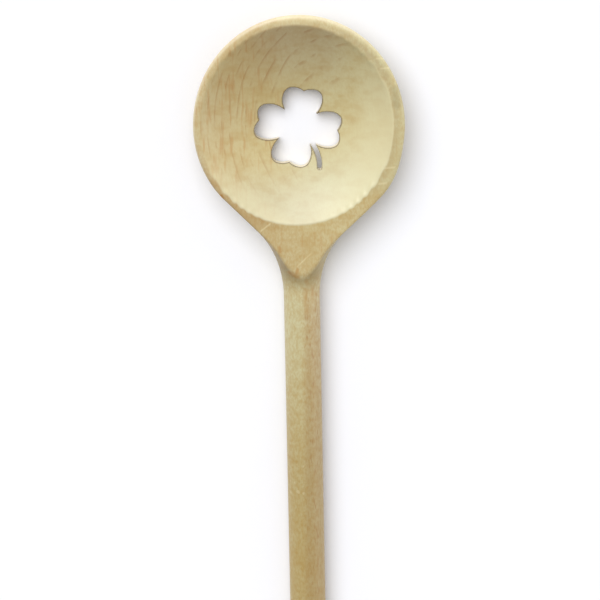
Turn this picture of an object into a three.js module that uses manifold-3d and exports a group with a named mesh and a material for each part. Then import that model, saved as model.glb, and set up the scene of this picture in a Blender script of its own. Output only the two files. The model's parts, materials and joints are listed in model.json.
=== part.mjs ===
// A round-headed wooden cooking spoon with a four-leaf clover cut right through the bowl.
// The whole spoon is one stick of pale hardwood. The handle is turned round, the head is left as an oval
// knob, the knob's upper side is planed flat until the flat runs out in a V on the coved neck, and then
// the bowl is hollowed into the flat and the clover is sawn out of the bowl's floor.

import * as THREE from "three";
import { mergeVertices } from "three/addons/utils/BufferGeometryUtils.js";
import Module from "manifold-3d";

const wasm = await Module();
wasm.setup();

// Driving dimensions, in millimetres. The spoon is drawn with the head's centre at the origin, the planed
// face in the plane z = 0 and the handle along -Y. It is laid on the table at the end of this file.
const TOTAL_LENGTH = 300;
const HEAD_RADIUS = 31.85; // half the width of the round head
const HEAD_REACH = 33.2; // from its centre to its far end
const HEAD_WAIST = 1.2; // depth of the head's widest line below the planed face
const CROWN_HEIGHT = 12; // height of the unplaned knob above that line
const BACK_HEIGHT = 13.4; // height of the bowl's back below that line
const HEAD_OFFSET = 0.15; // the head sits this far to the right of the handle's axis
const SHOULDER_SWELL = 1.4; // the right shoulder is this much fuller than the left one
const SHOULDER_SWELL_FROM = 4;
const SHOULDER_SWELL_TO = 42;

const HANDLE_RADIUS = 5.5; // where the neck ends
const HANDLE_END_RADIUS = 5.45; // where the end's dome starts
const HANDLE_DOME = 4.5; // length of the domed end
const AXIS_DEPTH = 7; // depth of the handle's axis below the planed face

const NECK_LENGTH = 52.3; // from the head's centre to the end of the neck's cove
const NECK_RADIUS = 30; // of the cove on each side
const NECK_MERGE_FROM = 18; // the head's sections merge into the neck's between these two distances
const NECK_MERGE_TO = 34;
const RIDGE_START = 51.2; // from the head's centre to the foot of the cove along the top of the neck
const RIDGE_RADIUS = 11.5; // of that cove
const RIDGE_SLOPE = 52; // degrees, where that cove ends and runs on straight
const ROOF_POWER = 1.6; // of the sections' upper half: 2 is round, 1 a straight-sided roof
const ROOF_FROM = 30; // the roof shape grows between these two distances
const ROOF_FULL = 40;
const ROOF_FADES_FROM = 38; // and fades between these two
const ROOF_FADES_TO = 48;
const BACK_BLEND = 3; // softness of the hollow where the back of the bowl meets the handle

const HOLLOW_RADIUS = 29.9;
const HOLLOW_NARROWED = 0.97; // across the spoon, because the cutter swings a little along it
const HOLLOW_DEPTH = 10;
const HOLLOW_CENTRE = new THREE.Vector2(-0.6, 0.15);
const LIP_RADIUS = 0.8; // rounding of the lip between the hollow and the planed rim

const CLOVER_CENTRE = new THREE.Vector2(-0.13, -1.1);
const LEAF_LENGTH = 12.4;
const LEAF_HALF_WIDTH = 5.8;
const LEAF_NOTCH = 0.9;
const FIRST_LEAF_ANGLE = 166; // degrees from the head's far end, counter-clockwise
const LEAF_SPACING = -87.7; // degrees, so the gap left for the stem is wider than the other three
const LEAF_COUNT = 4;
const LEAVES_WIDENED = 1.04; // the leaves are spread a little across the bowl
const LEAVES_FLATTENED = 0.95; // and drawn together a little along it
const STEM_WIDTH = 1.45;
const STEM_START = new THREE.Vector2(0, 0);
const STEM_BEND = new THREE.Vector2(6.7, -6.6);
const STEM_END = new THREE.Vector2(6.3, -12.3);

// Fineness of the facets.
const RING_STEPS = 48;
const HEAD_STEPS = 18;
const SHOULDER_STEPS = 8;
const NECK_STEPS = 12;
const HANDLE_STEPS = 6;
const DOME_STEPS = 6;
const HOLLOW_STEPS = 12;
const LIP_STEPS = 3;
const HOLLOW_SEGMENTS = 72;
const CURVE_STEPS = 6;

const CUT_OVERRUN = 20; // how far the cutters stand out of the wood

// The plan outline of one half: pairs of half width and y from the head's far end to the handle's end.
// The round head runs along a straight shoulder, touching both arcs, into the cove of the neck.
function planOutline() {
  const coveCentre = new THREE.Vector2(HANDLE_RADIUS + NECK_RADIUS, -NECK_LENGTH);
  const towardsCove = Math.atan2(coveCentre.y, coveCentre.x);
  const shoulder = towardsCove + Math.acos((HEAD_RADIUS + NECK_RADIUS) / coveCentre.length());
  const farEnd = new THREE.EllipseCurve(0, 0, HEAD_RADIUS, HEAD_REACH, Math.PI / 2, 0, true);
  const nearEnd = new THREE.EllipseCurve(0, 0, HEAD_RADIUS, HEAD_RADIUS, 0, shoulder, true);
  const cove = new THREE.EllipseCurve(
    coveCentre.x, coveCentre.y, NECK_RADIUS, NECK_RADIUS, shoulder + Math.PI, Math.PI, false);
  const domeStart = HEAD_REACH - TOTAL_LENGTH + HANDLE_DOME;
  const dome = new THREE.EllipseCurve(0, domeStart, HANDLE_END_RADIUS, HANDLE_DOME, 0, -Math.PI / 2, true);
  const handle = new THREE.LineCurve(
    new THREE.Vector2(HANDLE_RADIUS, -NECK_LENGTH), new THREE.Vector2(HANDLE_END_RADIUS, domeStart));
  return [
    ...farEnd.getPoints(HEAD_STEPS).slice(0, -1),
    ...nearEnd.getPoints(SHOULDER_STEPS),
    ...cove.getPoints(NECK_STEPS),
    ...handle.getPoints(HANDLE_STEPS).slice(1, -1),
    ...dome.getPoints(DOME_STEPS),
  ];
}

// The larger of two depths, with the corner between them rounded over the given softness.
function softMax(a, b, softness) {
  const overlap = Math.max(softness - Math.abs(a - b), 0) / softness;
  return Math.max(a, b) + (overlap * overlap * softness) / 4;
}

// Depth of the underside below the planed face: the oval back of the bowl, then the handle's underside.
function undersideDepth(halfWidth, y) {
  const across = y > 0 ? y / HEAD_REACH : Math.min(-y / HEAD_RADIUS, 1);
  const bowlBack = HEAD_WAIST + BACK_HEIGHT * Math.sqrt(1 - across * across);
  if (y > -HEAD_RADIUS / 3) {
    return bowlBack;
  }
  const handleUnderside = AXIS_DEPTH + Math.min(halfWidth, HANDLE_RADIUS);
  return softMax(bowlBack, handleUnderside, BACK_BLEND);
}

// Height of the top of the neck and handle above the handle's axis.
function ridgeHeight(halfWidth, y) {
  const slope = THREE.MathUtils.degToRad(RIDGE_SLOPE);
  const run = Math.max(y + RIDGE_START, 0);
  const bend = Math.min(run, RIDGE_RADIUS * Math.sin(slope));
  const rise = RIDGE_RADIUS - Math.sqrt(RIDGE_RADIUS ** 2 - bend ** 2);
  return Math.min(halfWidth, HANDLE_RADIUS) + rise + (run - bend) * Math.tan(slope);
}

// One ring of the loft: an upper and a lower half oval on a shared widest line. The lower one is an ellipse,
// and the upper one draws in to a roof at the neck.
function sectionRing(halfWidth, y) {
  const roundness = THREE.MathUtils.smoothstep(-y, NECK_MERGE_FROM, NECK_MERGE_TO);
  const waist = THREE.MathUtils.lerp(HEAD_WAIST, AXIS_DEPTH, roundness);
  const headCrown = (halfWidth * CROWN_HEIGHT) / HEAD_RADIUS;
  const crown = THREE.MathUtils.lerp(headCrown, ridgeHeight(halfWidth, y), roundness);
  const grown = THREE.MathUtils.smoothstep(-y, ROOF_FROM, ROOF_FULL);
  const faded = THREE.MathUtils.smoothstep(-y, ROOF_FADES_FROM, ROOF_FADES_TO);
  const power = THREE.MathUtils.lerp(2, ROOF_POWER, grown * (1 - faded));
  const back = undersideDepth(halfWidth, y) - waist;
  const offset = HEAD_OFFSET * (1 - THREE.MathUtils.smoothstep(-y, HEAD_RADIUS, NECK_LENGTH));
  const alongSwell = (-y - SHOULDER_SWELL_FROM) / (SHOULDER_SWELL_TO - SHOULDER_SWELL_FROM);
  const swell = SHOULDER_SWELL * Math.sin(Math.PI * THREE.MathUtils.clamp(alongSwell, 0, 1)) ** 2;
  const ring = [];
  for (let step = 0; step < RING_STEPS; step++) {
    const angle = (2 * Math.PI * step) / RING_STEPS;
    const [across, up] = [Math.cos(angle), Math.sin(angle)];
    const pinch = up > 0 ? 2 / power : 1;
    const reach = across > 0 ? halfWidth + swell : halfWidth;
    const rise = up > 0 ? crown : back;
    const x = offset + reach * Math.sign(across) * Math.abs(across) ** pinch;
    ring.push(new THREE.Vector3(x, y, rise * Math.sign(up) * Math.abs(up) ** pinch - waist));
  }
  return ring;
}

// The spoon's whole outer form, lofted through the sections and closed by a point at each end.
function blankGeometry() {
  const outline = planOutline();
  const rings = outline.slice(1, -1).map((point) => sectionRing(point.x, point.y));
  const headTip = new THREE.Vector3(HEAD_OFFSET, HEAD_REACH, -HEAD_WAIST);
  const handleTip = new THREE.Vector3(0, HEAD_REACH - TOTAL_LENGTH, -AXIS_DEPTH);
  const points = [headTip, ...rings.flat(), handleTip];
  const vertexOf = (ring, step) => 1 + ring * RING_STEPS + (step % RING_STEPS);
  const lastRing = rings.length - 1;
  const triangles = [];
  for (let step = 0; step < RING_STEPS; step++) {
    triangles.push(0, vertexOf(0, step + 1), vertexOf(0, step));
    triangles.push(points.length - 1, vertexOf(lastRing, step), vertexOf(lastRing, step + 1));
    for (let ring = 0; ring < lastRing; ring++) {
      const a = vertexOf(ring, step);
      const b = vertexOf(ring, step + 1);
      const c = vertexOf(ring + 1, step + 1);
      const d = vertexOf(ring + 1, step);
      triangles.push(a, b, c, a, c, d);
    }
  }
  const geometry = new THREE.BufferGeometry().setFromPoints(points);
  geometry.setIndex(triangles);
  return geometry;
}

// The block of wood that planing takes off above the flat face.
function planedOffGeometry() {
  const length = NECK_LENGTH + HEAD_RADIUS + CUT_OVERRUN;
  const width = 2 * (HEAD_RADIUS + CUT_OVERRUN);
  const centreY = (HEAD_RADIUS + CUT_OVERRUN - NECK_LENGTH) / 2;
  return new THREE.BoxGeometry(width, length, CUT_OVERRUN).translate(0, centreY, CUT_OVERRUN / 2);
}

// The wood taken out of the bowl: a shallow, slightly narrowed ball segment whose lip is rounded over onto
// the planed rim.
function hollowGeometry() {
  const ballRadius = (HOLLOW_RADIUS ** 2 + HOLLOW_DEPTH ** 2) / (2 * HOLLOW_DEPTH);
  const ballHeight = ballRadius - HOLLOW_DEPTH;
  const lipHeight = ballHeight + LIP_RADIUS;
  const lipReach = Math.sqrt((ballRadius + LIP_RADIUS) ** 2 - lipHeight ** 2);
  const lipAngle = Math.atan2(lipHeight, lipReach);
  const floor = new THREE.EllipseCurve(0, ballHeight, ballRadius, ballRadius, -Math.PI / 2, -lipAngle);
  const lip = new THREE.EllipseCurve(
    lipReach, -LIP_RADIUS, LIP_RADIUS, LIP_RADIUS, Math.PI - lipAngle, Math.PI / 2, true);
  const profile = [
    ...floor.getPoints(HOLLOW_STEPS),
    ...lip.getPoints(LIP_STEPS).slice(1),
    new THREE.Vector2(lipReach, CUT_OVERRUN),
    new THREE.Vector2(0, CUT_OVERRUN),
  ];
  return new THREE.LatheGeometry(profile, HOLLOW_SEGMENTS)
    .rotateX(Math.PI / 2)
    .scale(HOLLOW_NARROWED, 1, 1)
    .translate(HOLLOW_CENTRE.x, HOLLOW_CENTRE.y, 0);
}

// One heart-shaped leaf with its tip at the clover's centre, pointing along +Y.
function leafShape() {
  const w = LEAF_HALF_WIDTH;
  const l = LEAF_LENGTH;
  const half = new THREE.Path();
  half.moveTo(0, 0);
  half.bezierCurveTo(0.56 * w, 0.19 * l, w, 0.45 * l, w, 0.7 * l);
  half.bezierCurveTo(w, 0.88 * l, 0.83 * w, l, 0.5 * w, l);
  half.bezierCurveTo(0.34 * w, l, 0.15 * w, l - 0.3 * LEAF_NOTCH, 0, l - LEAF_NOTCH);
  const right = half.getPoints(CURVE_STEPS);
  const left = right.slice(1, -1).reverse().map((point) => new THREE.Vector2(-point.x, point.y));
  return new THREE.Shape([...right, ...left]);
}

// The curved stalk between two leaves, an even strip along its spine.
function stemShape() {
  const spine = new THREE.QuadraticBezierCurve(STEM_START, STEM_BEND, STEM_END);
  const edge = (side) => Array.from({ length: CURVE_STEPS + 1 }, (_, step) => {
    const along = spine.getTangent(step / CURVE_STEPS);
    const sideways = new THREE.Vector2(-along.y, along.x).multiplyScalar((side * STEM_WIDTH) / 2);
    return spine.getPoint(step / CURVE_STEPS).add(sideways);
  });
  return new THREE.Shape([...edge(-1), ...edge(1).reverse()]);
}

// A closed geometry as a solid for cutting, with its shared vertices welded.
function solid(geometry) {
  const bare = new THREE.BufferGeometry();
  bare.setAttribute("position", geometry.getAttribute("position"));
  bare.setIndex(geometry.getIndex());
  const welded = mergeVertices(bare);
  const corners = welded.getIndex().array;
  const triangles = [];
  for (let i = 0; i < corners.length; i += 3) {
    const [a, b, c] = corners.slice(i, i + 3);
    if (a !== b && b !== c && c !== a) {
      triangles.push(a, b, c);
    }
  }
  return new wasm.Manifold(new wasm.Mesh({
    numProp: 3,
    vertProperties: new Float32Array(welded.getAttribute("position").array),
    triVerts: new Uint32Array(triangles),
  }));
}

// The clover's four leaves and stalk as one saw cut through the floor of the bowl.
function cloverSolid() {
  const through = { depth: 2 * CUT_OVERRUN, bevelEnabled: false };
  const stemEnd = new THREE.CylinderGeometry(STEM_WIDTH / 2, STEM_WIDTH / 2, through.depth, 4 * CURVE_STEPS)
    .rotateX(Math.PI / 2)
    .translate(STEM_END.x, STEM_END.y, CUT_OVERRUN);
  let clover = solid(new THREE.ExtrudeGeometry(stemShape(), through)).add(solid(stemEnd));
  for (let leaf = 0; leaf < LEAF_COUNT; leaf++) {
    const turn = THREE.MathUtils.degToRad(FIRST_LEAF_ANGLE + leaf * LEAF_SPACING);
    const leafCut = new THREE.ExtrudeGeometry(leafShape(), through)
      .rotateZ(turn)
      .scale(LEAVES_WIDENED, LEAVES_FLATTENED, 1);
    clover = clover.add(solid(leafCut));
  }
  return clover.translate([CLOVER_CENTRE.x, CLOVER_CENTRE.y, -1.5 * CUT_OVERRUN]);
}

// The finished spoon, back as a three.js geometry.
function spoonGeometry() {
  const { vertProperties, triVerts } = solid(blankGeometry())
    .subtract(solid(planedOffGeometry()))
    .subtract(solid(hollowGeometry()))
    .subtract(cloverSolid())
    .getMesh();
  const geometry = new THREE.BufferGeometry();
  geometry.setAttribute("position", new THREE.BufferAttribute(new Float32Array(vertProperties), 3));
  geometry.setIndex(new THREE.BufferAttribute(new Uint32Array(triVerts), 1));
  geometry.computeVertexNormals();
  return geometry;
}

// The tilt about X at which the back of the bowl and the end of the handle touch the table together.
function restTilt(geometry) {
  const position = geometry.getAttribute("position");
  let tilt = 0;
  for (let round = 0; round < 8; round++) {
    const lowest = { head: [0, Infinity], handle: [0, Infinity] };
    for (let i = 0; i < position.count; i++) {
      const end = position.getY(i) > -NECK_LENGTH ? "head" : "handle";
      const y = position.getY(i) * Math.cos(tilt) - position.getZ(i) * Math.sin(tilt);
      const z = position.getY(i) * Math.sin(tilt) + position.getZ(i) * Math.cos(tilt);
      if (z < lowest[end][1]) {
        lowest[end] = [y, z];
      }
    }
    tilt += Math.atan2(lowest.handle[1] - lowest.head[1], lowest.head[0] - lowest.handle[0]);
  }
  return tilt;
}

const paleWood = new THREE.MeshStandardMaterial({ color: 0xc9b484, roughness: 0.6, metalness: 0 });
const spoon = new THREE.Mesh(spoonGeometry(), paleWood);
spoon.name = "spoon";
spoon.rotation.x = restTilt(spoon.geometry);

// The spoon lies on the table z = 0 with the middle of its plan over the origin.
const object = new THREE.Group();
object.add(spoon);
const box = new THREE.Box3().setFromObject(object, true);
const middle = box.getCenter(new THREE.Vector3());
spoon.position.set(-middle.x, -middle.y, -box.min.z);

export default object;
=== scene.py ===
# A round-headed wooden cooking spoon with a four-leaf clover cut through its bowl, lying on a white table.

import json
import math

import bpy
import numpy as np
from mathutils import Matrix, Vector


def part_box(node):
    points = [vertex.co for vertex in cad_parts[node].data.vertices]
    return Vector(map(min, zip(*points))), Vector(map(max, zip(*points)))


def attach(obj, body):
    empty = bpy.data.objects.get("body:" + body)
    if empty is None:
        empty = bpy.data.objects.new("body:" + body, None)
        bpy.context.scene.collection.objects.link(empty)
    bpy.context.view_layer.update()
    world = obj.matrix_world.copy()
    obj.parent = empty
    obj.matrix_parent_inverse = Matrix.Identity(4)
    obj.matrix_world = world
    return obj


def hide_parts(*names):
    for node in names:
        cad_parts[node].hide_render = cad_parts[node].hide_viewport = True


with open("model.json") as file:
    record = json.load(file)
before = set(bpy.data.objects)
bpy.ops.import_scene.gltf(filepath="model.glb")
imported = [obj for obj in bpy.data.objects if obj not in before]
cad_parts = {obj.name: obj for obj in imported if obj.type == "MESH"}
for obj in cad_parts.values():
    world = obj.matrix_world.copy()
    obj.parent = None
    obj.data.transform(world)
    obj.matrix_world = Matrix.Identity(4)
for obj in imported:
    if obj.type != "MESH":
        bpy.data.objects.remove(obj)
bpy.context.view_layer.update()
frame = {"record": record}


# The stick
# One stick of pale hardwood makes the whole spoon. The handle is turned round, a cove forms the neck, and
# the head is left as an oval knob. Sizes are millimetres, with the head's centre at the origin, the face
# that is planed later at z = 0, and the handle along -Y.
TOTAL_LENGTH = 300
HEAD_RADIUS = 31.85
HEAD_REACH = 33.2  # from the head's centre to its far end
HEAD_WAIST = 1.2  # depth of the head's widest line below the planed face
CROWN_HEIGHT = 12
BACK_HEIGHT = 13.4
HEAD_OFFSET = 0.15  # how far the head sits to the right of the handle's axis
SHOULDER_SWELL = 1.4  # how much fuller the right shoulder is than the left one
SHOULDER_SWELL_FROM = 4  # from the head's centre, as the next lengths along the handle are
SHOULDER_SWELL_TO = 42
HANDLE_RADIUS = 5.5
HANDLE_END_RADIUS = 5.45
HANDLE_DOME = 4.5
AXIS_DEPTH = 7  # depth of the handle's axis below the planed face
NECK_LENGTH = 52.3
NECK_RADIUS = 30
NECK_MERGE_FROM = 18
NECK_MERGE_TO = 34
RIDGE_START = 51.2  # from the head's centre to the foot of the cove along the top of the neck
RIDGE_RADIUS = 11.5
RIDGE_SLOPE = 52
ROOF_POWER = 1.6  # 2 is a round section, 1 a straight-sided roof
ROOF_FROM = 30
ROOF_FULL = 40
ROOF_FADES_FROM = 38
ROOF_FADES_TO = 48
BACK_BLEND = 3  # the bowl's back runs into the handle's over this depth
BACK_BLEND_FROM = HEAD_RADIUS / 3  # nearer to the head's centre, the back is the bowl's alone
NEVER_ZERO = 1e-6  # keeps the division at the middle of a section in bounds
LEAST_SLOPE = 1e-3

DOME_START = HEAD_REACH - TOTAL_LENGTH + HANDLE_DOME
COVE_X = HANDLE_RADIUS + NECK_RADIUS
COVE_DISTANCE = math.hypot(COVE_X, NECK_LENGTH)
SHOULDER_ANGLE = (
    math.acos((HEAD_RADIUS + NECK_RADIUS) / COVE_DISTANCE) - math.atan2(NECK_LENGTH, COVE_X))
SHOULDER_TOP = HEAD_RADIUS * math.sin(SHOULDER_ANGLE)
SHOULDER_FOOT = -NECK_LENGTH - NECK_RADIUS * math.sin(SHOULDER_ANGLE)


def smooth_step(value, low, high):
    """Zero below low, one above high, and an even S between them."""
    share = np.clip((value - low) / (high - low), 0, 1)
    return share * share * (3 - 2 * share)


def soft_max(a, b, softness):
    """The larger of two distances, with the corner between them rounded over the given softness."""
    overlap = np.maximum(softness - np.abs(a - b), 0) / softness
    return np.maximum(a, b) + overlap * overlap * softness / 4


def half_width(y):
    """Half the stick's width, seen from above, from the head's centre to the start of the domed end."""
    head = np.sqrt(np.maximum(HEAD_RADIUS ** 2 - y ** 2, 0))
    shoulder = HEAD_RADIUS * math.cos(SHOULDER_ANGLE) - (y - SHOULDER_TOP) * math.tan(SHOULDER_ANGLE)
    cove = COVE_X - np.sqrt(np.maximum(NECK_RADIUS ** 2 - (y + NECK_LENGTH) ** 2, 0))
    down_handle = (y + NECK_LENGTH) / (DOME_START + NECK_LENGTH)
    handle = HANDLE_RADIUS + (HANDLE_END_RADIUS - HANDLE_RADIUS) * down_handle
    places = [y > SHOULDER_TOP, y > SHOULDER_FOOT, y > -NECK_LENGTH]
    return np.select(places, [head, shoulder, cove], handle)


def ridge_height(y, width):
    """How far the top of the neck and handle is above the handle's axis."""
    run = np.maximum(y + RIDGE_START, 0)
    bend = np.minimum(run, RIDGE_RADIUS * math.sin(math.radians(RIDGE_SLOPE)))
    rise = RIDGE_RADIUS - np.sqrt(RIDGE_RADIUS ** 2 - bend ** 2)
    return np.minimum(width, HANDLE_RADIUS) + rise + (run - bend) * math.tan(math.radians(RIDGE_SLOPE))


def stick(x, y, z):
    """How far a point is outside the unplaned stick, negative inside the wood."""
    section = np.clip(y, DOME_START, 0)
    width = half_width(section)
    roundness = smooth_step(-section, NECK_MERGE_FROM, NECK_MERGE_TO)
    waist = HEAD_WAIST + (AXIS_DEPTH - HEAD_WAIST) * roundness
    crown = width * CROWN_HEIGHT / HEAD_RADIUS * (1 - roundness) + ridge_height(section, width) * roundness
    roof = smooth_step(-section, ROOF_FROM, ROOF_FULL)
    roof = roof * (1 - smooth_step(-section, ROOF_FADES_FROM, ROOF_FADES_TO))
    bowl_back = HEAD_WAIST + BACK_HEIGHT * np.sqrt(np.maximum(1 - (section / HEAD_RADIUS) ** 2, 0))
    handle_back = AXIS_DEPTH + np.minimum(width, HANDLE_RADIUS)
    underside = np.where(
        section > -BACK_BLEND_FROM, bowl_back, soft_max(bowl_back, handle_back, BACK_BLEND))
    sideways = x - HEAD_OFFSET * (1 - smooth_step(-section, HEAD_RADIUS, NECK_LENGTH))
    along_swell = (-section - SHOULDER_SWELL_FROM) / (SHOULDER_SWELL_TO - SHOULDER_SWELL_FROM)
    swell = SHOULDER_SWELL * np.sin(math.pi * np.clip(along_swell, 0, 1)) ** 2
    reach = np.where(sideways > 0, width + swell, width)
    rise = np.where(z > -waist, crown, underside - waist)
    length = np.where(y > 0, HEAD_REACH, HANDLE_DOME)
    power = np.where(z > -waist, 2 - (2 - ROOF_POWER) * roof, 2)
    across = np.abs(sideways / reach)
    up = np.abs((z + waist) / rise)
    beyond = np.abs((y - section) / length)
    size = (across ** power + up ** power + beyond ** power) ** (1 / power) + NEVER_ZERO
    slants = [
        (share / size) ** (power - 1) / half_axis
        for share, half_axis in ((across, reach), (up, rise), (beyond, length))]
    return (size - 1) / (np.sqrt(sum(slant ** 2 for slant in slants)) + LEAST_SLOPE)


# The planed face
# The knob's upper side is planed flat, down to a V on the coved neck. Sanding then breaks the edge that the
# plane leaves: most at the head's far end, least at the shoulders.
EDGE_PLACES = (-50, -30, 0, 30)  # along the spoon
EDGE_SOFTNESS = (0.6, 0.45, 1.0, 1.8)  # how far the edge is rounded there


def planed(x, y, z):
    """The stick with its face planed and the edge round it sanded."""
    return soft_max(stick(x, y, z), z, np.interp(y, EDGE_PLACES, EDGE_SOFTNESS))


# The hollow
# A ball-shaped cutter hollows the bowl a little off the head's centre, so the rim is wider on the right.
# Across the grain the lip tears out in small scallops, and sanding leaves it slightly round.
HOLLOW_RADIUS = 29.9
HOLLOW_DEPTH = 10
HOLLOW_NARROWED = 0.97  # across the spoon, because the cutter swings a little along it
HOLLOW_CENTRE = (-0.6, 0.15)
LIP_SOFTNESS = 0.25
SCALLOP_WIDTH = 2.7
SCALLOP_UNEVENNESS = 0.3  # how far the torn fibres are from evenly spaced, in widths
SCALLOP_SHIFT = 0.3  # how far the torn fibres move the lip
SCALLOP_DEPTH = 1.2  # how far down the wall they show
BALL_RADIUS = (HOLLOW_RADIUS ** 2 + HOLLOW_DEPTH ** 2) / (2 * HOLLOW_DEPTH)


def hollow(x, y, z):
    """How far a point is inside the ball that the cutter sweeps."""
    sideways, along = (x - HOLLOW_CENTRE[0]) / HOLLOW_NARROWED, y - HOLLOW_CENTRE[1]
    slanting_lip = 2 * np.abs(sideways * along) / HOLLOW_RADIUS ** 2 * smooth_step(z, -SCALLOP_DEPTH, 0)
    turns = x / SCALLOP_WIDTH + SCALLOP_UNEVENNESS * np.sin(x / SCALLOP_WIDTH)
    sideways = sideways + SCALLOP_SHIFT * slanting_lip * np.sin(2 * math.pi * turns)
    return BALL_RADIUS - np.sqrt(sideways ** 2 + along ** 2 + (z - BALL_RADIUS + HOLLOW_DEPTH) ** 2)


# The clover
# A four-leaf clover with a curved stalk is sawn right through the bowl's floor. The leaves are hearts that
# meet at their tips, and the gap that holds the stalk is a little wider than the other three.
CLOVER_CENTRE = (-0.13, -1.1)
CLOVER_REACH = 16
CLOVER_CLEARANCE = 1.0  # the least distance given for points beyond its reach
LEAF_LENGTH = 12.4
LEAF_HALF_WIDTH = 5.8
LEAF_NOTCH = 0.9
FIRST_LEAF_ANGLE = 166
LEAF_SPACING = -87.7
LEAF_COUNT = 4
LEAVES_WIDENED = 1.04
LEAVES_FLATTENED = 0.95
STEM_WIDTH = 1.45
STEM_BEND = (6.7, -6.6)
STEM_END = (6.3, -12.3)
CURVE_STEPS = 9


def bezier(*corners):
    """Points along a curve with three or four corners."""
    share = np.linspace(0, 1, CURVE_STEPS + 1)[:, None]
    points = np.array(corners, float)[:, None, :] + np.zeros_like(share)
    while len(points) > 1:
        points = points[:-1] * (1 - share) + points[1:] * share
    return points[0]


# Half a leaf, from its tip round its shoulder to its notch, in shares of its half width and its length.
NOTCH_END = 1 - LEAF_NOTCH / LEAF_LENGTH
NOTCH_BEND = 1 - 0.3 * LEAF_NOTCH / LEAF_LENGTH
HALF_LEAF = (LEAF_HALF_WIDTH, LEAF_LENGTH) * np.concatenate([
    bezier((0, 0), (0.56, 0.19), (1, 0.45), (1, 0.7))[:-1],
    bezier((1, 0.7), (1, 0.88), (0.83, 1), (0.5, 1))[:-1],
    bezier((0.5, 1), (0.34, 1), (0.15, NOTCH_BEND), (0, NOTCH_END)),
])
STEM_SPINE = bezier((0, 0), STEM_BEND, STEM_END)


def from_line(points, line):
    """The distance of points from a line of short sides, and how many sides lie to the right of each."""
    start, side = line[:-1], np.diff(line, axis=0)
    offset = points[:, None] - start
    share = np.clip((offset * side).sum(2) / (side ** 2).sum(1), 0, 1)
    distance = np.sqrt(((offset - share[..., None] * side) ** 2).sum(2)).min(1)
    spanned = (offset[..., 1] < 0) != (offset[..., 1] < side[:, 1])
    rise = np.where(side[:, 1] == 0, 1, side[:, 1])
    to_the_right = spanned & (offset[..., 0] < offset[..., 1] * side[:, 0] / rise)
    return distance, to_the_right.sum(1)


def clover(x, y):
    """How far a point is inside the clover's outline, seen from above."""
    x, y = np.broadcast_arrays(x - CLOVER_CENTRE[0], y - CLOVER_CENTRE[1])
    within_reach = CLOVER_REACH - np.hypot(x, y)
    near = within_reach > 0
    across, along = x[near] / LEAVES_WIDENED, y[near] / LEAVES_FLATTENED
    bearing = np.degrees(np.arctan2(-across, along))
    leaf = np.round((bearing - FIRST_LEAF_ANGLE) / LEAF_SPACING) % LEAF_COUNT
    turn = np.radians(FIRST_LEAF_ANGLE + leaf * LEAF_SPACING)
    in_leaf = np.stack([
        np.abs(across * np.cos(turn) + along * np.sin(turn)),
        along * np.cos(turn) - across * np.sin(turn),
    ], 1)
    distance, sides = from_line(in_leaf, HALF_LEAF)
    leaves = np.where(sides % 2 == 1, distance, -distance)
    stem = STEM_WIDTH / 2 - from_line(np.stack([x[near], y[near]], 1), STEM_SPINE)[0]
    result = np.minimum(within_reach, -CLOVER_CLEARANCE)
    result[near] = np.maximum(leaves, stem)
    return result


# The carved spoon
# Plane, cutter and saw leave one body of wood. A net of points is laid over its surface, fine over the head
# and long along the plain handle. Away from the saw cut the net is then evened out and settled on the wood.
FINE_STEP = 0.3
HANDLE_STEP = 3.0
FINE_UNTIL = -58
MARGIN = 1.0
SAW_ZONE = 0.7  # points nearer than this to the saw cut keep the places that make its edge sharp
CELL_HOLD = 0.1  # how strongly a point keeps to the middle of its cell, against the surfaces' pull
LEAST_GROWTH = 0.1  # keeps a settling step in bounds where the distance hardly grows
FIRST_SETTLING = 3
EVENING_ROUNDS = 2
LATER_SETTLING = 2
SHARP_ANGLE = 50


def wood(x, y, z):
    """How far a point is outside the finished spoon, negative inside the wood."""
    bowl = soft_max(planed(x, y, z), hollow(x, y, z), LIP_SOFTNESS)
    return np.maximum(bowl, clover(x, y))


def slope(points, reach=0.01):
    """The direction in which the distance to the wood grows, and how fast."""
    sides = [wood(*(points + reach * step).T) - wood(*(points - reach * step).T) for step in np.eye(3)]
    return np.stack(sides, 1) / (2 * reach)


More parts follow.
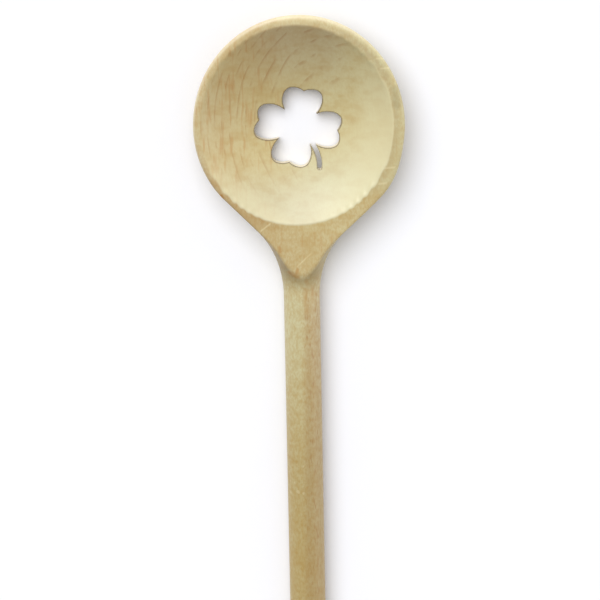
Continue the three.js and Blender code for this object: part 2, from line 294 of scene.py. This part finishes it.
def net_over_wood(grid):
    """Points and four-sided faces of a net over the wood, with one point in each grid cell that it crosses.
    A point goes where the surfaces that pass through its cell meet, so a saw cut keeps its sharp edge."""
    values = wood(grid[0][:, None, None], grid[1][None, :, None], grid[2][None, None, :])
    cells = [len(line) - 1 for line in grid]
    steps = np.eye(3, dtype=int)
    rings, places = [], []
    for axis in range(3):
        one, two = steps[(axis + 1) % 3], steps[(axis + 2) % 3]
        inside = np.moveaxis(values < 0, axis, 0)
        low = np.argwhere(np.moveaxis(inside[:-1] != inside[1:], 0, axis))
        high = low + steps[axis]
        before, after = values[tuple(low.T)], values[tuple(high.T)]
        share = (before / (before - after))[:, None]
        ends = [np.stack([grid[i][node[:, i]] for i in range(3)], 1) for node in (low, high)]
        ring = np.stack([
            np.ravel_multi_index((low - shift).T, cells) for shift in (0 * one, one, one + two, two)], 1)
        rings.append(np.where((before < 0)[:, None], ring, ring[:, ::-1]))
        places.append(ends[0] * (1 - share) + ends[1] * share)
    rings, places = np.concatenate(rings), np.concatenate(places)
    facing = slope(places)
    facing /= np.linalg.norm(facing, axis=1, keepdims=True)
    corners = np.unique(rings, return_inverse=True)[1].reshape(-1)
    count = np.bincount(corners)
    places, facing = np.repeat(places, 4, axis=0), np.repeat(facing, 4, axis=0)
    middle = np.stack([np.bincount(corners, places[:, i]) / count for i in range(3)], 1)
    rise = (facing * (places - middle[corners])).sum(1)
    pull = np.stack([np.bincount(corners, facing[:, i] * rise) for i in range(3)], 1)
    hold = np.stack([
        [np.bincount(corners, facing[:, i] * facing[:, j]) for j in range(3)] for i in range(3)])
    hold = np.moveaxis(hold, 2, 0) + CELL_HOLD * np.eye(3)
    shift = np.linalg.solve(hold, pull[..., None])[..., 0]
    return middle + np.clip(shift, -FINE_STEP, FINE_STEP), corners.reshape(-1, 4)


def settle(points, rounds):
    """Moves points onto the wood's surface, a short step at a time."""
    for _ in range(rounds):
        grows = slope(points)
        move = grows * (wood(*points.T) / np.maximum((grows ** 2).sum(1), LEAST_GROWTH))[:, None]
        length = np.linalg.norm(move, axis=1, keepdims=True)
        points = points - move * FINE_STEP / np.maximum(length, FINE_STEP)
    return points


def even_out(points, faces):
    """Moves every point half way to the middle of its neighbours in the net."""
    ends = np.concatenate([faces[:, [i, (i + 1) % 4]] for i in range(4)])
    count = np.bincount(ends[:, 0], minlength=len(points))
    middle = np.stack([np.bincount(ends[:, 0], points[ends[:, 1], i], len(points)) for i in range(3)], 1)
    return (points + middle / count[:, None]) / 2


handle_tip = HEAD_REACH - TOTAL_LENGTH
steps_down_handle = round((FINE_UNTIL - DOME_START) / HANDLE_STEP)
points, faces = net_over_wood((
    np.arange(-HEAD_RADIUS - MARGIN, HEAD_RADIUS + 2 * MARGIN, FINE_STEP),
    np.concatenate([
        np.arange(handle_tip - MARGIN, DOME_START + MARGIN, FINE_STEP),
        np.linspace(DOME_START + MARGIN + FINE_STEP, FINE_UNTIL, steps_down_handle),
        np.arange(FINE_UNTIL + FINE_STEP, HEAD_REACH + MARGIN, FINE_STEP),
    ]),
    np.arange(-HEAD_WAIST - BACK_HEIGHT - MARGIN, MARGIN, FINE_STEP),
))
free = np.abs(clover(points[:, 0], points[:, 1])) > SAW_ZONE
points[free] = settle(points[free], FIRST_SETTLING)
for _ in range(EVENING_ROUNDS):
    points[free] = settle(even_out(points, faces)[free], LATER_SETTLING)

# The spoon rests on the back of the bowl and the end of the handle, so its planed face leans a little.
MM = 0.001
face = next(mount for mount in frame["record"]["mounts"] if mount["name"] == "planed_face")
lean = -math.asin(face["axis"][1])
low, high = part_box("spoon")
head_y = high.y - (HEAD_REACH * math.cos(lean) + HEAD_WAIST * math.sin(lean)) * MM
head_z = face["pos_m"][2] + (head_y - face["pos_m"][1]) * math.tan(lean)
head_place = Vector(((low.x + high.x) / 2 - HEAD_OFFSET * MM, head_y, head_z))
mesh = bpy.data.meshes.new("carved_spoon")
mesh.from_pydata((points * MM).tolist(), [], faces.tolist())
mesh.transform(Matrix.Translation(head_place) @ Matrix.Rotation(lean, 4, "X"))
mesh.shade_smooth()
mesh.set_sharp_from_angle(angle=math.radians(SHARP_ANGLE))
spoon = bpy.data.objects.new("carved_spoon", mesh)
bpy.context.scene.collection.objects.link(spoon)
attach(spoon, "root")
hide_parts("spoon")


# Tones and marks
# The stick's heart side, on the left, is browner, and its right rim is greyer sapwood. The handle gets
# darker towards its end. Pale cool grey low in the hollow is a painted sheen, and a pale edge towards the
# head's end is a painted highlight. Painted shade darkens the hollow's far wall and the neck's flanks, and
# partly the pinker stripe down the handle's right. The saw scorched the clover's lip and left fresh wood
# below it. Torn fibres, flecks and stains mark the rim, the neck and the handle.
HEART_FACING = (-0.42, 0.0, 0.905)  # the year rings lie across this direction
SCORCH_WIDTH = 0.35
MARKED_ABOVE = -8.0  # the strokes are on the upper side and fade out down to this height
MARKED_IN_FULL = -6.0
STROKE_CORE = 0.2  # share of its width out to which a stroke is full
STROKE_EDGE = 0.8  # share of its width past which it is gone
# Each stroke: its two ends, its width and its strength.
PALE_STROKES = (
    ((-5.0, 31.6), (4.0, 31.8), 2.6, 0.2),
    ((23.8, 19.8), (26.2, 19.8), 0.5, 0.35),
    ((24.9, 16.8), (27.3, 16.9), 0.5, 0.35),
    ((25.8, -13.2), (28.6, -13.0), 0.5, 0.4),
    ((23.9, -17.9), (26.0, -17.7), 0.5, 0.35),
    ((-12.1, -31.6), (-9.2, -29.4), 0.45, 0.4),
    ((-1.3, -42.6), (3.0, -38.7), 0.4, 0.3),
)
# The first grey stroke is a faint painted shade along the upper right rim, and the second is a grey mark.
GREY_MARKS_AND_SHADE = (
    ((14.5, 27.3), (26.5, 15.9), 3.6, 0.09),
    ((29.4, 10.4), (29.7, 5.8), 2.4, 0.28),
)
BROWN_STROKES = (
    ((-23.7, -20.6), (-23.4, -21.2), 0.9, 0.95),
    ((-6.5, -36.6), (-6.3, -37.9), 1.0, 0.45),
    ((14.6, 0.8), (15.6, 0.6), 3.0, 0.14),
    ((-3.7, -44.4), (-1.0, -45.9), 1.2, 0.4),
    ((-1.1, -43.5), (-1.5, -44.8), 0.9, 0.6),
    ((1.3, -47.0), (1.7, -48.2), 1.0, 0.2),
    ((1.0, -50.0), (1.3, -57.5), 1.1, 0.25),
    ((3.2, -49.0), (3.3, -52.0), 0.8, 0.25),
)


def strokes(marks):
    """How strongly each point of the upper side is marked, from 0 to 1."""
    on_top = smooth_step(points[:, 2], MARKED_ABOVE, MARKED_IN_FULL)
    result = np.zeros(len(points))
    for start, end, width, strength in marks:
        distance = from_line(points[:, :2], np.array([start, end]))[0]
        beyond = smooth_step(distance, STROKE_CORE * width, STROKE_EDGE * width)
        result = np.maximum(result, strength * on_top * (1 - beyond))
    return result


def band(value, start, full, fades, end):
    """One from full to where it fades, with an even S from zero at the start and to zero at the end."""
    return smooth_step(value, start, full) * (1 - smooth_step(value, fades, end))


x, y, z = points.T
down = -y  # from the head's centre along the handle
depth = -z  # below the planed face
past_hollow = -hollow(x, y, z)  # on the rim and the saw's walls, the distance from the hollow

# The forms of the spoon, each from 0 to 1, with the millimetres between which they start and end.
in_hollow = 1 - smooth_step(past_hollow, 0.05, 0.35)
on_rim = (1 - in_hollow) * (1 - smooth_step(depth, 0.8, 1.5))
on_edge = (1 - in_hollow) * band(depth, 0.05, 0.4, 1.0, 2.5)
on_neck = band(down, 28, 36, 43.5, 52)
# The neck's flanks just below the planed face, where painted shade darkens the wood.
shaded_flanks = band(depth, 0.15, 0.8, 5, 9)
on_handle = smooth_step(down, 40, 60)

# The sides of the forms, in the same way. Left and right are as in the picture, and the handle is below.
right_side = smooth_step(x, 10, 24)
above_neck = 1 - smooth_step(down, 28, 34)
lower_left = smooth_step(0.8 * down - 0.6 * x, 24, 30) * above_neck
lower_right = smooth_step(0.85 * down + 0.5 * x, 26, 32) * above_neck
right_rim = right_side * (1 - smooth_step(down, 17, 25))
right_lip = smooth_step(x, 6, 16) * (1 - lower_right) * (1 - smooth_step(past_hollow, 0.5, 1.5))
torn_lip = 1 - smooth_step(past_hollow, 0.4, 2.2)
torn_right = right_side * (0.6 + 0.6 * smooth_step(y, 0, 15))
# The side towards the head's end and the left, which faces the lamp.
lit_end = smooth_step(y - x, -10, 20)
heart_side = smooth_step(points @ np.array(HEART_FACING), -10, 8)
streaked_left = (1 - smooth_step(x, -16, 2)) * (1 - 0.6 * smooth_step(down, 4, 20))
# The hollow's far wall, where painted shade darkens the wood.
shaded_far_hollow = in_hollow * smooth_step(y, 4, 29) * band(x, -24, -4, 8, 20)
# The hollow's lower wall, which faces the lamp and gets a painted sheen.
sheen_lower_hollow = in_hollow * smooth_step(down + 0.2 * x, 3, 26)
left_hollow = in_hollow * (1 - smooth_step(x + 0.35 * down, -1, 14)) * (1 - smooth_step(down, 6, 26))
hollow_right = in_hollow * smooth_step(0.95 * x + 0.3 * down, 8, 26)
hollow_lower_left = in_hollow * smooth_step(0.8 * down - 0.6 * x, 22, 28)
# The handle's right part, darker partly from painted shade and partly from pinker wood.
shaded_right_stripe = smooth_step(x + 0.012 * down, 0, 2.6)
upper_handle = band(down, 46, 54, 60, 105)
flecked_handle = band(down, 98, 106, 114, 122) * (1 - smooth_step(x, -1, 1))

# The saw's cut: fresh on the walls towards the handle and in the stalk, scorched elsewhere.
NUDGE = 0.05
saw_wall = 1 - smooth_step(np.abs(clover(x, y)), 0.0, SCORCH_WIDTH)
from_stem = from_line(points[:, :2] - CLOVER_CENTRE, STEM_SPINE)[0] - STEM_WIDTH / 2
at_stem = 1 - smooth_step(from_stem, -0.2, 0.6)
handle_side = smooth_step(clover(x, y + NUDGE) - clover(x, y - NUDGE), 0.0, 0.07)
fresh_cut = smooth_step(past_hollow, 0.5, 1.3) * np.maximum(handle_side, at_stem)
scorching = (0.85 - 0.4 * smooth_step(past_hollow, 0.5, 1.5)) * (1 - fresh_cut) * (1 - 0.6 * at_stem)

TONES = {
    "heart": 0.24 * heart_side * (1 - on_handle),
    "rough": on_rim * np.max(
        [0.3 * lower_left, 0.12 * lower_right, 0.105 * on_neck, 0.18 * right_lip], axis=0),
    # Partly painted shade along the handle's right, partly its pinker wood.
    "shade_and_pink_stripe": 0.34 * shaded_right_stripe * on_handle,
    # The handle gets darker towards its end.
    "darker_towards_end": 0.45 * smooth_step(down, 42, 115),
    # Painted shade on the neck's flanks and under the V, and the grey strokes.
    "shade_and_grey": np.maximum(0.5 * on_neck * shaded_flanks, strokes(GREY_MARKS_AND_SHADE)),
    # Painted shade, a little browner, on the hollow's far wall.
    "far_wall_shade": 0.26 * shaded_far_hollow,
    # A painted sheen: pale cool grey on the hollow's lower wall, which faces the lamp.
    "painted_sheen": 0.3 * sheen_lower_hollow,
    "yellowed": np.maximum(0.54 * hollow_right, 0.28 * hollow_lower_left),
    "sappy": 0.25 * np.maximum(on_rim * right_rim, (1 - shaded_right_stripe) * upper_handle),
    # A painted highlight on the rim and its rounded edge, on the side that faces the lamp.
    "edge_highlight": (0.08 * on_rim + 0.25 * on_edge) * lit_end,
    "lined": 0.42 * left_hollow,
    "streaked": np.maximum(0.44 * streaked_left, 0.25 * on_neck),
    "porous": 0.6 * on_handle * smooth_step(x, -2, 2),
    "flecked": 0.5 * flecked_handle,
    "mottled": 0.34 * (1 - 0.65 * in_hollow + 0.35 * on_handle),
    "fringed": 0.3 * on_rim * torn_lip * np.maximum(lower_left, torn_right),
    "pale": strokes(PALE_STROKES),
    "brown": strokes(BROWN_STROKES),
    "scorched": scorching * saw_wall,
    "fresh": (0.5 + 0.45 * at_stem) * saw_wall * fresh_cut,
}
for name, share in TONES.items():
    mesh.attributes.new(name, "FLOAT", "POINT").data.foreach_set("value", share.astype(np.float32))


# The wood's surface
# Maple, flat-sawn, sanded and left bare. Its year rings lie at a slant, so they draw arcs in the hollow,
# stripes along the handle and streaks on the rim. Sanded fibres give a soft satin sheen.
def linear(colour):
    """An sRGB hex colour as the linear values that a shader takes."""
    channels = [int(colour[i:i + 2], 16) / 255 for i in (1, 3, 5)]
    return (*[c / 12.92 if c <= 0.04045 else ((c + 0.055) / 1.055) ** 2.4 for c in channels], 1.0)


def add(tree, kind, inputs=(), **settings):
    """Adds a node with its settings, sets or links its inputs, and returns its first output in use."""
    node = tree.nodes.new(kind)
    for name, value in settings.items():
        setattr(node, name, value)
    for name, value in dict(inputs).items():
        socket = next(socket for socket in node.inputs if socket.enabled and socket.name == name)
        if isinstance(value, bpy.types.NodeSocket):
            tree.links.new(value, socket)
        else:
            socket.default_value = value
    return next((socket for socket in node.outputs if socket.enabled), node)


GROUND = "#D5CB9C"
# Some of these colours are painted light: the neck's grey and the far wall's brown are painted shade, the
# cool grey low in the hollow is a painted sheen, the pale edge colour is a painted highlight, and the
# handle's stripe is partly painted shade.
TONE_COLOURS = {
    "heart": "#A87A42", "rough": "#A0733A", "shade_and_pink_stripe": "#9C7B60", "darker_towards_end": "#947632", "shade_and_grey": "#78663A",
    "far_wall_shade": "#8C5E4E", "painted_sheen": "#BCCAC3", "yellowed": "#E6E0B8", "sappy": "#C4C8A8", "edge_highlight": "#F4EFDC",
    "pale": "#EEE2B4", "brown": "#B27E36", "fresh": "#F6F0E0", "scorched": "#5A4632",
}

# Each pattern: its size across the grain, along it and through the wood in millimetres, its detail, the
# noise levels where it starts and is full, its colour, and its strongest share or the tone that gives it.
# Real sanding grain is finer than this one, which is as coarse as it needs to be to show.
PATTERNS = {
    "broad clouds": ((18, 40, 18), 2, 0.40, 0.70, "#C0A460", 0.34),
    "cross figure": ((5, 2.6, 5), 2, 0.40, 0.75, "#BA9850", 0.34),
    "fine mottle": ((1.0, 1.6, 1.0), 2, 0.40, 0.70, "#BE9A50", "mottled"),
    "orange streaks": ((1.1, 9, 5), 2, 0.52, 0.72, "#BC8038", "streaked"),
    "brown pores": ((0.5, 3.0, 0.5), 1, 0.58, 0.72, "#A8702F", "porous"),
    "torn fringe": ((1.2, 1.8, 3), 2, 0.42, 0.60, "#AC8244", "fringed"),
    "sanding grain": ((0.5, 1.0, 0.5), 1, 0.35, 0.75, "#BC9A58", "mottled"),
    "pale flecks": ((1.3, 1.7, 1.3), 0, 0.72, 0.80, "#F4EAC0", "flecked"),
}

maple = bpy.data.materials.new("sanded_maple")
maple.use_nodes = True
tree = maple.node_tree
tree.nodes.clear()
where = add(tree, "ShaderNodeTexCoord").node.outputs["Object"]
in_mm = add(tree, "ShaderNodeMapping", {
    "Vector": where, "Location": head_place, "Rotation": (lean, 0, 0), "Scale": (MM, MM, MM),
}, vector_type="TEXTURE")

colour = linear(GROUND)
for name, (size, detail, starts, full, tint, share) in PATTERNS.items():
    stretched = add(tree, "ShaderNodeMapping", {"Vector": in_mm, "Scale": [1 / length for length in size]})
    noise = add(tree, "ShaderNodeTexNoise", {
        "Vector": stretched, "Scale": 1.0, "Detail": detail}, label=name)
    if isinstance(share, str):
        share = add(tree, "ShaderNodeAttribute", attribute_name=share).node.outputs["Fac"]
    amount = add(tree, "ShaderNodeMapRange", {
        "Value": noise, "From Min": starts, "From Max": full, "To Max": share,
    }, interpolation_type="SMOOTHSTEP")
    colour = add(tree, "ShaderNodeMix", {
        "Factor": amount, "A": colour, "B": linear(tint)}, data_type="RGBA")

# The year rings end in thin brown lines, which fade in and out along the grain.
RING_SPACING = 2.1
RING_TURN = 115  # degrees from level to the direction across the rings
RING_STRETCH = 10  # the rings wander this many times less along the grain than across it
RING_WANDER = 3.0
RING_BROWN = "#A87434"
LINE_STARTS = 0.70  # of the way from one ring to the next
LINE_FULL = 0.97
LINE_PATCH_SIZE = (4, 5, 4)
PATCH_STARTS = 0.42
PATCH_FULL = 0.62
WAVE_PERIOD = math.pi / 10  # of the wave texture at scale 1
slanted = add(tree, "ShaderNodeMapping", {
    "Vector": in_mm, "Rotation": (0, math.radians(RING_TURN), 0), "Scale": (1, 1 / RING_STRETCH, 1)})
rings = add(tree, "ShaderNodeTexWave", {
    "Vector": slanted, "Scale": WAVE_PERIOD / RING_SPACING, "Distortion": RING_WANDER,
    "Detail": 1.0, "Detail Scale": 0.6,
}, bands_direction="X", wave_profile="SAW")
in_patches = add(tree, "ShaderNodeMapping", {
    "Vector": in_mm, "Scale": [1 / length for length in LINE_PATCH_SIZE]})
patches = add(tree, "ShaderNodeTexNoise", {"Vector": in_patches, "Scale": 1.0})
lined = add(tree, "ShaderNodeAttribute", attribute_name="lined").node.outputs["Fac"]
line_share = add(tree, "ShaderNodeMapRange", {
    "Value": patches, "From Min": PATCH_STARTS, "From Max": PATCH_FULL, "To Max": lined,
}, interpolation_type="SMOOTHSTEP")
line = add(tree, "ShaderNodeMapRange", {
    "Value": rings, "From Min": LINE_STARTS, "From Max": LINE_FULL, "To Max": line_share,
}, interpolation_type="SMOOTHSTEP")
colour = add(tree, "ShaderNodeMix", {
    "Factor": line, "A": colour, "B": linear(RING_BROWN)}, data_type="RGBA")

# The tones lie over the patterns.
for name, tint in TONE_COLOURS.items():
    share = add(tree, "ShaderNodeAttribute", attribute_name=name).node.outputs["Fac"]
    colour = add(tree, "ShaderNodeMix", {"Factor": share, "A": colour, "B": linear(tint)}, data_type="RGBA")

# Sanding leaves fibres that stand up by a few hundredths of a millimetre.
FIBRE_SIZE = (0.5, 12.5, 0.5)
FIBRE_HEIGHT = 0.04
SANDED_ROUGHNESS = 0.45
WOOD_IOR = 1.5
fibres = add(tree, "ShaderNodeMapping", {
    "Vector": in_mm, "Scale": [1 / length for length in FIBRE_SIZE]})
relief = add(tree, "ShaderNodeBump", {
    "Height": add(tree, "ShaderNodeTexNoise", {"Vector": fibres, "Scale": 1.0}),
    "Strength": 0.5, "Distance": FIBRE_HEIGHT * MM})
shader = add(tree, "ShaderNodeBsdfPrincipled", {
    "Base Color": colour, "Roughness": SANDED_ROUGHNESS, "IOR": WOOD_IOR, "Normal": relief})
add(tree, "ShaderNodeOutputMaterial", {"Surface": shader})
mesh.materials.append(maple)


# The table
# A plain table top, painted matt white and wide enough to reach past the horizon of any view. The spoon
# lies loose on it.
TABLE_SIZE = 8.0  # metres
TABLE_WHITE = "#EEEFF4"
table_mesh = bpy.data.meshes.new("table")
half = TABLE_SIZE / 2
corners = [(-half, -half, 0), (half, -half, 0), (half, half, 0), (-half, half, 0)]
table_mesh.from_pydata(corners, [], [(0, 1, 2, 3)])
table = bpy.data.objects.new("table", table_mesh)
bpy.context.scene.collection.objects.link(table)
white = bpy.data.materials.new("white_table")
white.use_nodes = True
tree = white.node_tree
tree.nodes.clear()
matt = add(tree, "ShaderNodeBsdfDiffuse", {"Color": linear(TABLE_WHITE)})
add(tree, "ShaderNodeOutputMaterial", {"Surface": matt})
table_mesh.materials.append(white)


# The light
# A soft lamp stands at the top of the picture, a little to the left, and a weak one at its right. The table
# has a lamp of its own, broader and higher, for a short soft shadow, and an even white room fills in.
ROOM_LEVEL = 0.54
ROOM_WHITE = "#FFFFFF"
# Each lamp: what it lights, its turn from the head's end towards the left, its height, its level on a level
# surface and its spread. Angles are degrees.
LAMPS = {
    "key_on_spoon": (spoon, 14, 32, 0.42, 40),
    "side_on_spoon": (spoon, 270, 15, 0.06, 40),
    "key_on_table": (table, 32, 64, 0.64, 50),
}
for name, (lit, turn, height, level, spread) in LAMPS.items():
    lamp = bpy.data.lights.new(name, "SUN")
    lamp.angle = math.radians(spread)
    turn, height = math.radians(turn), math.radians(height)
    lamp.energy = level * math.pi / math.sin(height)
    level_reach = math.cos(height)
    towards = Vector((-math.sin(turn) * level_reach, math.cos(turn) * level_reach, math.sin(height)))
    lamp_object = bpy.data.objects.new(name, lamp)
    lamp_object.rotation_mode = "QUATERNION"
    lamp_object.rotation_quaternion = towards.to_track_quat("Z", "Y")
    bpy.context.scene.collection.objects.link(lamp_object)
    receivers = bpy.data.collections.new(name)
    receivers.objects.link(lit)
    lamp_object.light_linking.receiver_collection = receivers

world = bpy.data.worlds.new("white_room")
bpy.context.scene.world = world
world.use_nodes = True
tree = world.node_tree
tree.nodes.clear()
seen = add(tree, "ShaderNodeLightPath").node.outputs["Is Camera Ray"]
strength = add(tree, "ShaderNodeMapRange", {"Value": seen, "To Min": ROOM_LEVEL, "To Max": 1.0})
room = add(tree, "ShaderNodeBackground", {"Color": linear(ROOM_WHITE), "Strength": strength})
add(tree, "ShaderNodeOutputWorld", {"Surface": room})


# The camera
# It looks down on the spoon from beyond the head, so the head is at the top of the picture and the handle
# leaves it at the bottom, leaning a little to the right.
PICTURE_SIZE = 600
HEAD_AT = (299.0, 126.2)  # the head's centre in the picture, in pixels
MM_PER_PIXEL = 0.3
CAMERA_DISTANCE = 800
CAMERA_TILT = 8.85  # degrees from straight down
HANDLE_LEAN = 1.14
SENSOR_WIDTH = 36
tilt, roll = math.radians(CAMERA_TILT), math.radians(HANDLE_LEAN)
ahead = Vector((0, -math.sin(tilt), -math.cos(tilt)))
turned = Matrix.Rotation(roll, 3, ahead)
right = turned @ Vector((1, 0, 0))
up = turned @ Vector((0, math.cos(tilt), -math.sin(tilt)))
aside = (HEAD_AT[0] - PICTURE_SIZE / 2) * MM_PER_PIXEL
above = (PICTURE_SIZE / 2 - HEAD_AT[1]) * MM_PER_PIXEL
lens = bpy.data.cameras.new("camera")
lens.sensor_width = SENSOR_WIDTH
lens.lens = SENSOR_WIDTH * CAMERA_DISTANCE / (PICTURE_SIZE * MM_PER_PIXEL)
camera = bpy.data.objects.new("camera", lens)
place = head_place + Vector((HEAD_OFFSET, 0, 0)) * MM
place -= (right * aside + up * above + ahead * CAMERA_DISTANCE) * MM
camera.matrix_world = Matrix.Translation(place) @ Matrix((right, up, -ahead)).transposed().to_4x4()
bpy.context.scene.collection.objects.link(camera)
bpy.context.scene.camera = camera
bpy.context.scene.view_settings.view_transform = "Standard"
